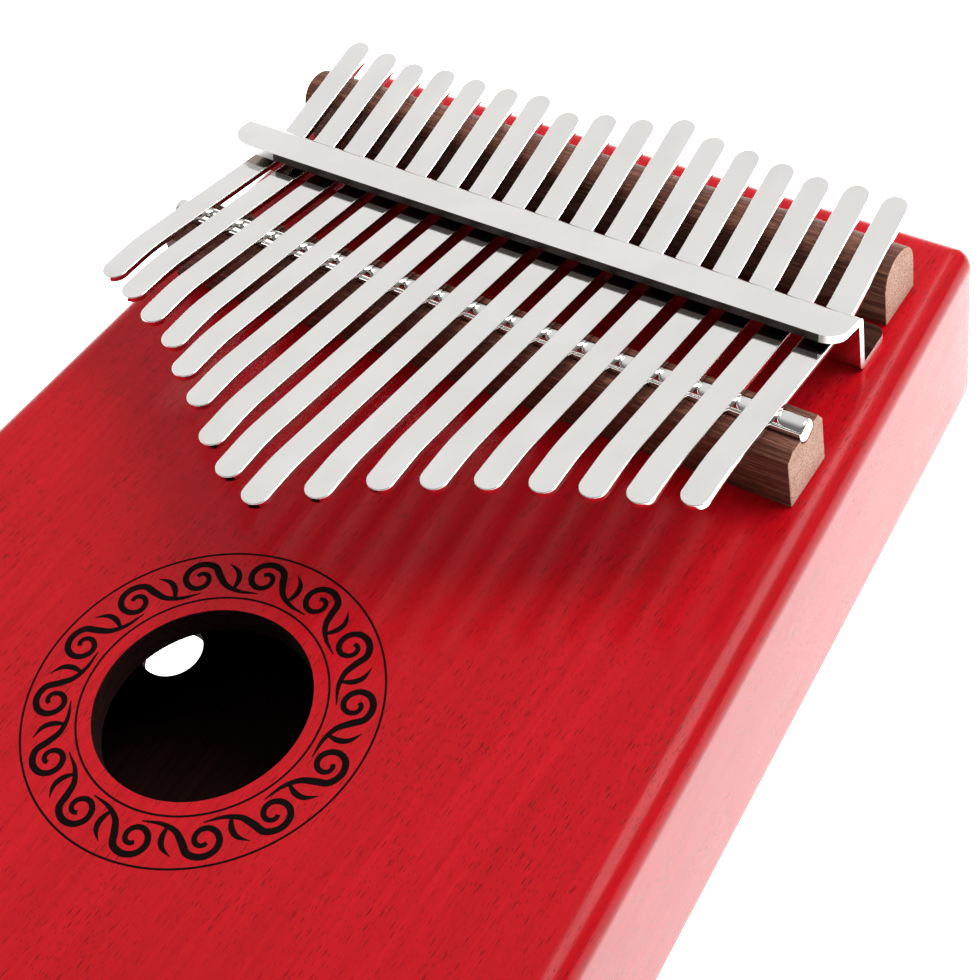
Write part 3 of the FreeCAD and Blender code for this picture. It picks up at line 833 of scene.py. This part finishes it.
def screw(number):
    """A pan-head wood screw with a crossed recess in its head."""
    node = "bracket_screw_%d" % number
    low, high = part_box(node)
    x, y = (low.x + high.x) / 2 / MM, (low.y + high.y) / 2 / MM
    shank = [(SHEET - 12.0, 0.15), (SHEET - 9.5, 1.1), (SHEET, 1.1)]
    profile = shank + [(SHEET, 1.95), (SHEET + 0.15, 2.1)]
    for k in range(7):
        a = math.pi / 2 * k / 6
        profile.append((SHEET + 0.45 + 0.85 * math.sin(a), 0.9 + 1.2 * math.cos(a)))
    obj = lathe(
        "screw_%d" % number, profile, (x, y, TOP_Z), "Z", SCREW_STEEL, node, 40
    )
    turn = Euler((0, 0, math.radians(37 * number))).to_matrix().to_4x4()
    cutter = bpy.data.meshes.new("recess")
    bm = bmesh.new()
    for size in ((1.9, 0.36, 0.7), (0.36, 1.9, 0.7)):
        place = Matrix.Translation(Vector((x, y, TOP_Z + SHEET + 1.25)) * MM) @ turn
        made = bmesh.ops.create_cube(bm, size=1.0)["verts"]
        bmesh.ops.scale(bm, vec=Vector(size) * MM, verts=made)
        bmesh.ops.transform(bm, matrix=place, verts=made)
    bm.to_mesh(cutter)
    bm.free()
    tool = bpy.data.objects.new("recess", cutter)
    bpy.context.scene.collection.objects.link(tool)
    cut = obj.modifiers.new("recess", "BOOLEAN")
    cut.object = tool
    cut.operation = "DIFFERENCE"
    cut.solver = "EXACT"
    cut.use_self = True
    depsgraph = bpy.context.evaluated_depsgraph_get()
    final = bpy.data.meshes.new_from_object(obj.evaluated_get(depsgraph))
    obj.modifiers.clear()
    obj.data = final
    bpy.data.objects.remove(tool)
    final.set_sharp_from_angle(angle=math.radians(35))


for number in range(1, 6):
    screw(number)


# ---------------------------------------------------------------- tines

TINE_HALF = 2.08
TINE_THICK = 1.02
TINE_EDGE = 0.16
WEB_RISE = 9.15
FRONT_SLOPE = 0.185
TAIL_SLOPE = 0.204
TIP_SLOPE = 0.03
TIP_REACH = 8.0
CLAMP_BEND = 3.0  # half the length of the bend under the bracket
TIP_BEND = 2.4  # half the length of the bend behind the playing tip
# each tine's own lean (degrees, tail to the right) and sideways place in its slot (mm)
LEAN = [0.8, 0.7, 0, 0, 0, 0.2, 0, -0.2, 0, 0, 0.1, 0.6, 0.6, 0.3, 0.8, 0.9, 1.1]
SIDE = [0, -0.1, -0.2, -0.25, -0.3, -0.3, -0.3, -0.3, -0.25, -0.2, -0.05, -0.25]
SIDE += [-0.1, -0.1, -0.1, -0.1, 0.1]


def eased(x, half):
    """0 below -half, x above half, and a smooth bend between."""
    if x <= -half:
        return 0.0
    return x if x >= half else (x + half) ** 2 / (4 * half)


def tine(i):
    front, tail = FRONT_REACH[i], TAIL_REACH[i]
    bend = -(front - TIP_REACH)
    yaw = (i - 8) * FAN_STEP + math.radians(0.22 * math.sin(2.3 * i + 0.7) - LEAN[i])
    tip_slope = TIP_SLOPE + 0.012 * math.sin(1.7 * i)
    rise = 0.05 * math.sin(2.9 * i + 1.0)
    origin = Vector(((i - 8) * PITCH + 0.1 * math.sin(3.1 * i) + SIDE[i], WEB_Y, TOP_Z))

    def height(s):
        z = WEB_RISE - FRONT_SLOPE * s
        z += (TAIL_SLOPE + FRONT_SLOPE) * eased(s, CLAMP_BEND)
        z -= (FRONT_SLOPE - tip_slope) * eased(bend - s, TIP_BEND)
        return z + rise * max(0.0, min(1.0, (-s - 22) / 20))

    def point(s, u, depth):
        slope = (height(s + 0.01) - height(s - 0.01)) / 0.02
        normal = Vector((-slope, 1.0)).normalized()
        y, z = s - normal.x * depth, height(s) - normal.y * depth
        c, s_yaw = math.cos(yaw), math.sin(yaw)
        return origin + Vector((u * c - y * s_yaw, u * s_yaw + y * c, z))

    # the outline once round: (centre along the tine, cos, sin), from the front tip's point
    caps = 12
    turns = [math.pi / 2 * k / caps for k in range(caps + 1)]
    start, stop = -front + TINE_HALF, tail - TINE_HALF
    cuts = int((stop - start) / 1.1)
    right = [(start, -math.cos(a), math.sin(a)) for a in turns]
    right += [(start + (stop - start) * k / cuts, 0.0, 1.0) for k in range(1, cuts)]
    right += [(stop, math.sin(a), math.cos(a)) for a in turns]
    outline = right + [(c, a, -b) for c, a, b in right[-2:0:-1]]
    count, last = len(outline), len(right) - 1
    steps = 4
    rings = []
    for k in range(steps + 1):
        a = math.pi / 2 * k / steps
        rings.append((TINE_EDGE * (1 - math.sin(a)), TINE_EDGE * (1 - math.cos(a))))
    rings += [(inset, TINE_THICK - depth) for inset, depth in rings[::-1]]
    rings = [(TINE_EDGE + 0.08, 0.0)] + rings + [(TINE_EDGE + 0.08, TINE_THICK)]
    verts = [
        point(c + (TINE_HALF - inset) * a, (TINE_HALF - inset) * b, depth)
        for inset, depth in rings
        for c, a, b in outline
    ]
    faces = []
    for k in range(len(rings) - 1):
        faces += ring_faces(k * count, (k + 1) * count, count)
    for base in (0, (len(rings) - 1) * count):
        faces.append((base, base + 1, base + count - 1))
        faces += [
            (base + m, base + m + 1, base + count - m - 1, base + count - m)
            for m in range(1, last - 1)
        ]
        faces.append((base + last - 1, base + last, base + last + 1))
    name = "tine_%02d" % (i + 1)
    obj = finish_mesh(name + "_blade", verts, faces, [TINE_STEEL], body=None, smooth=40.0)
    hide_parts(name)
    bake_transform(obj)


for i in range(17):
    tine(i)


# ---------------------------------------------------------------- floor, light, camera

FLOOR_HALF = 4.0  # metres, as everything in this section
FLOOR_Z = -0.0004
POOL_REACH = (0.3, 1.0)  # distance where the pool of light starts and stops falling off
POOL_GLOW = (2.4, 0.5)  # its emission there
POOL_HELD_BACK = 0.95  # share of it that matt surfaces don't receive
ROOM_BRIGHTEST = (-0.40, 0.71, 0.57)  # direction of the room's brightest part
ROOM_DIM, ROOM_BRIGHT = 0.22, 0.96
KEY_SIZE = (0.56, 0.50)
KEY_WATTS = 6.6
KEY_PLACE = (0.36, 0.42, 0.78)
CAMERA_PLACE = (0.14957, -0.12077, 0.25882)
CAMERA_TARGET = (0.01555, 0.01945, 0.0328)
CAMERA_ROLL = -14.164  # degrees
LENS = 77.17


def floor():
    mesh = bpy.data.meshes.new("floor")
    size, z = FLOOR_HALF, FLOOR_Z
    corners = [(-size, -size, z), (size, -size, z), (size, size, z), (-size, size, z)]
    mesh.from_pydata(corners, [], [(0, 1, 2, 3)])
    obj = bpy.data.objects.new("floor", mesh)
    bpy.context.scene.collection.objects.link(obj)
    material = bpy.data.materials.new("pale_floor")
    material.use_nodes = True
    shader = material.node_tree.nodes["Principled BSDF"]
    shader.inputs["Base Color"].default_value = (0.9, 0.9, 0.9, 1)
    shader.inputs["Roughness"].default_value = 1.0
    shader.inputs["Emission Color"].default_value = (1, 1, 1, 1)
    tree = material.node_tree
    # a pool of light round the instrument, which falls off towards the horizon
    where = tree.nodes.new("ShaderNodeTexCoord")
    length = tree.nodes.new("ShaderNodeVectorMath")
    length.operation = "LENGTH"
    tree.links.new(where.outputs["Object"], length.inputs[0])
    pool = tree.nodes.new("ShaderNodeMapRange")
    pool.inputs["From Min"].default_value, pool.inputs["From Max"].default_value = POOL_REACH
    pool.inputs["To Min"].default_value, pool.inputs["To Max"].default_value = POOL_GLOW
    tree.links.new(length.outputs["Value"], pool.inputs["Value"])
    # it shines in polished surfaces, and lights matt ones from below only a little
    path = tree.nodes.new("ShaderNodeLightPath")
    less = tree.nodes.new("ShaderNodeMath")
    less.operation = "MULTIPLY_ADD"
    less.inputs[1].default_value, less.inputs[2].default_value = -POOL_HELD_BACK, 1.0
    tree.links.new(path.outputs["Is Diffuse Ray"], less.inputs[0])
    strength = tree.nodes.new("ShaderNodeMath")
    strength.operation = "MULTIPLY"
    tree.links.new(pool.outputs["Result"], strength.inputs[0])
    tree.links.new(less.outputs[0], strength.inputs[1])
    tree.links.new(strength.outputs[0], shader.inputs["Emission Strength"])
    material.cycles.emission_sampling = "NONE"
    mesh.materials.append(material)


def studio():
    """A white room, brightest high behind the instrument and dimmer on the player's side."""
    world = bpy.data.worlds.new("studio")
    world.use_nodes = True
    tree = world.node_tree
    where = tree.nodes.new("ShaderNodeTexCoord")
    toward = tree.nodes.new("ShaderNodeVectorMath")
    toward.operation = "DOT_PRODUCT"
    toward.inputs[1].default_value = ROOM_BRIGHTEST
    tree.links.new(where.outputs["Generated"], toward.inputs[0])
    ramp = tree.nodes.new("ShaderNodeValToRGB")
    line = ramp.color_ramp
    line.interpolation = "EASE"
    line.elements[0].position, line.elements[1].position = 0.0, 0.8
    line.elements[0].color = (ROOM_DIM, ROOM_DIM, ROOM_DIM, 1)
    line.elements[1].color = (ROOM_BRIGHT, ROOM_BRIGHT, ROOM_BRIGHT, 1)
    tree.links.new(toward.outputs["Value"], ramp.inputs["Fac"])
    back = tree.nodes["Background"]
    tree.links.new(ramp.outputs["Color"], back.inputs["Color"])
    back.inputs["Strength"].default_value = 1.0
    bpy.context.scene.world = world
    bpy.context.scene.view_settings.view_transform = "Standard"
    bpy.context.scene.view_settings.look = "None"


def key_light():
    """A soft box high behind the right shoulder of the instrument."""
    data = bpy.data.lights.new("key_light", "AREA")
    data.shape = "RECTANGLE"
    data.size, data.size_y = KEY_SIZE
    data.energy = KEY_WATTS
    obj = bpy.data.objects.new("key_light", data)
    bpy.context.scene.collection.objects.link(obj)
    place = Vector(KEY_PLACE)
    obj.location = place
    obj.rotation_euler = place.to_track_quat("Z", "Y").to_euler()
    obj.visible_camera = False


def camera():
    data = bpy.data.cameras.new("camera")
    data.sensor_width = 36.0
    data.lens = LENS
    data.clip_start, data.clip_end = 0.01, 20.0
    obj = bpy.data.objects.new("camera", data)
    bpy.context.scene.collection.objects.link(obj)
    place, target = Vector(CAMERA_PLACE), Vector(CAMERA_TARGET)
    back = (place - target).normalized()
    right = Vector((0, 0, 1)).cross(back).normalized()
    up = back.cross(right)
    level = Matrix((right, up, back)).transposed()
    roll = Matrix.Rotation(math.radians(CAMERA_ROLL), 3, "Z")
    obj.matrix_world = Matrix.Translation(place) @ (level @ roll).to_4x4()
    bpy.context.scene.camera = obj


floor()
studio()
key_light()
camera()
